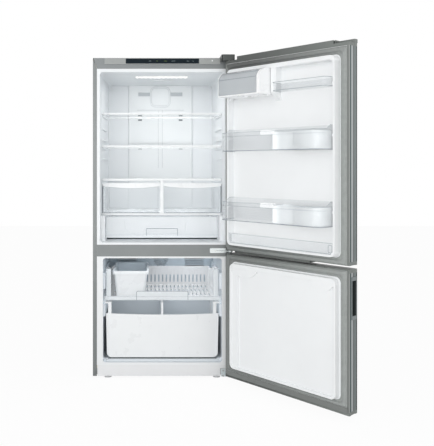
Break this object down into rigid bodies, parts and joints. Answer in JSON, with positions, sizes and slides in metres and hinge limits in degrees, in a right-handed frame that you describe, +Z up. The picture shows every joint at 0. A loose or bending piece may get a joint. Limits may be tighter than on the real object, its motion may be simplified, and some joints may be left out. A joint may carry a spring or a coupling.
{
  "type": "bottom freezer refrigerator",
  "caption": "Upright refrigerator with a fresh food compartment over a freezer; hinged doors, sliding drawers, shelves, door bins and cooling parts.",
  "frame": {"origin": "middle of the cabinet front in the floor plane, under the plane of the front flange", "axes": "+X to the hinge side (the viewer's right), +Y into the cabinet, +Z up"},
  "size_m": [1.2657, 1.3528, 1.766],
  "materials": {
    "case_paint": "satin",
    "door_steel": "satin",
    "door_trim": "matte",
    "zinc": "satin",
    "white_plastic": "satin",
    "white_panel": "satin",
    "dark_plastic": "matte",
    "dark_glass": "gloss",
    "clear_plastic": "clear",
    "smoky_plastic": "clear",
    "shelf_glass": "clear",
    "gasket_rubber": "matte",
    "foam": "matte",
    "lamp": "matte",
    "galvanised": "satin",
    "black_paint": "satin",
    "black_plastic": "matte",
    "aluminium": "satin",
    "board": "matte",
    "grey_plastic": "matte"
  },
  "bodies": {
    "cabinet": {"case_shell": "case_paint", "back_panel": "galvanised", "top_frame": "case_paint", "control_housing": "door_trim", "control_panel": "dark_glass", "control_board": "board", "mullion_cover": "case_paint", "kick_plate": "white_panel", "base_pan": "galvanised", "cabinet_foam": "foam", "fresh_food_liner": "white_plastic", "freezer_liner": "white_plastic", "air_duct_cover": "white_plastic", "led_lamp": "lamp", "shelf_glass": "shelf_glass", "shelf_trims": "white_plastic", "crisper_cover_frame": "white_plastic", "deli_cover_shelf": "white_plastic", "freezer_back_cover": "white_plastic", "evaporator": "aluminium", "compressor": "black_paint", "condenser": "aluminium", "condenser_fan_shroud": "black_plastic", "drain_pan": "black_plastic", "machine_cover": "galvanised", "power_inlet": "black_plastic", "levelling_legs": "zinc", "top_hinge_bracket": "zinc", "top_hinge_cover": "dark_plastic", "middle_hinge_bracket": "zinc", "bottom_hinge_bracket": "zinc", "case_screws": "zinc"},
    "evaporator_fan_wheel": {"evaporator_fan": "grey_plastic"},
    "condenser_fan_wheel": {"condenser_fan": "black_plastic"},
    "roller_axle": {"rear_rollers": "grey_plastic"},
    "switch_plunger": {"door_switch": "white_plastic"},
    "upper_door": {"upper_door_shell": "door_steel", "upper_door_liner": "white_plastic", "upper_door_foam": "foam", "upper_door_gasket": "gasket_rubber", "upper_door_end_caps": "door_trim", "door_bins": "clear_plastic", "dairy_base": "white_plastic", "small_bin": "clear_plastic", "door_guard": "clear_plastic"},
    "middle_insert": {"middle_bin_insert": "clear_plastic"},
    "lower_insert": {"lower_bin_insert": "clear_plastic"},
    "lid": {"dairy_lid": "smoky_plastic"},
    "freezer_door": {"freezer_door_shell": "door_steel", "freezer_door_liner": "white_plastic", "freezer_door_foam": "foam", "freezer_door_gasket": "gasket_rubber", "freezer_door_end_caps": "door_trim", "freezer_door_handle": "dark_plastic"},
    "left_crisper": {"crisper_left": "clear_plastic"},
    "right_crisper": {"crisper_right": "clear_plastic"},
    "deli": {"deli_drawer": "clear_plastic"},
    "basket": {"freezer_basket": "clear_plastic"},
    "ice_bucket": {"ice_bin": "clear_plastic"},
    "drawer": {"freezer_drawer": "clear_plastic"}
  },
  "joints": [
    {"name": "upper_door_hinge", "type": "hinge", "parent": "cabinet", "child": "upper_door", "pos_m": [0.367, -0.038, 1.2], "axis": [0, 0, 1], "range_deg": [-131, 0]},
    {"name": "freezer_door_hinge", "type": "hinge", "parent": "cabinet", "child": "freezer_door", "pos_m": [0.367, -0.038, 0.36], "axis": [0, 0, 1], "range_deg": [-131, 0]},
    {"name": "crisper_left_slide", "type": "slide", "parent": "cabinet", "child": "left_crisper", "axis": [0, -1, 0], "range_m": [0, 0.33]},
    {"name": "crisper_right_slide", "type": "slide", "parent": "cabinet", "child": "right_crisper", "axis": [0, -1, 0], "range_m": [0, 0.25]},
    {"name": "deli_slide", "type": "slide", "parent": "cabinet", "child": "deli", "axis": [0, -1, 0], "range_m": [0, 0.33]},
    {"name": "basket_slide", "type": "slide", "parent": "cabinet", "child": "basket", "axis": [0, -1, 0], "range_m": [0, 0.35]},
    {"name": "ice_bin_lift", "type": "slide", "parent": "basket", "child": "ice_bucket", "axis": [0, 0, 1], "range_m": [0, 0.06]},
    {"name": "freezer_drawer_slide", "type": "slide", "parent": "cabinet", "child": "drawer", "axis": [0, -1, 0], "range_m": [0, 0.35]},
    {"name": "middle_insert_slide", "type": "slide", "parent": "upper_door", "child": "middle_insert", "axis": [-0.6561, 0.7547, 0], "range_m": [0, 0.22]},
    {"name": "lower_insert_slide", "type": "slide", "parent": "upper_door", "child": "lower_insert", "axis": [-0.6561, 0.7547, 0], "range_m": [0, 0.22]},
    {"name": "dairy_lid_hinge", "type": "hinge", "parent": "upper_door", "child": "lid", "pos_m": [0.42527, -0.2285, 1.643], "axis": [-0.6561, 0.7547, 0], "range_deg": [0, 60]},
    {"name": "door_switch_press", "type": "slide", "parent": "cabinet", "child": "switch_plunger", "axis": [0, 1, 0], "range_m": [0, 0.0025], "stiffness_N_per_m": 300, "springref_m": -0.002},
    {"name": "evaporator_fan_spin", "type": "hinge", "parent": "cabinet", "child": "evaporator_fan_wheel", "pos_m": [0, 0.525, 0.585], "axis": [0, 1, 0], "continuous": true},
    {"name": "condenser_fan_spin", "type": "hinge", "parent": "cabinet", "child": "condenser_fan_wheel", "pos_m": [0, 0.585, 0.138], "axis": [1, 0, 0], "continuous": true},
    {"name": "rear_roller_spin", "type": "hinge", "parent": "cabinet", "child": "roller_axle", "pos_m": [0, 0.69, 0.018], "axis": [1, 0, 0], "continuous": true}
  ]
}
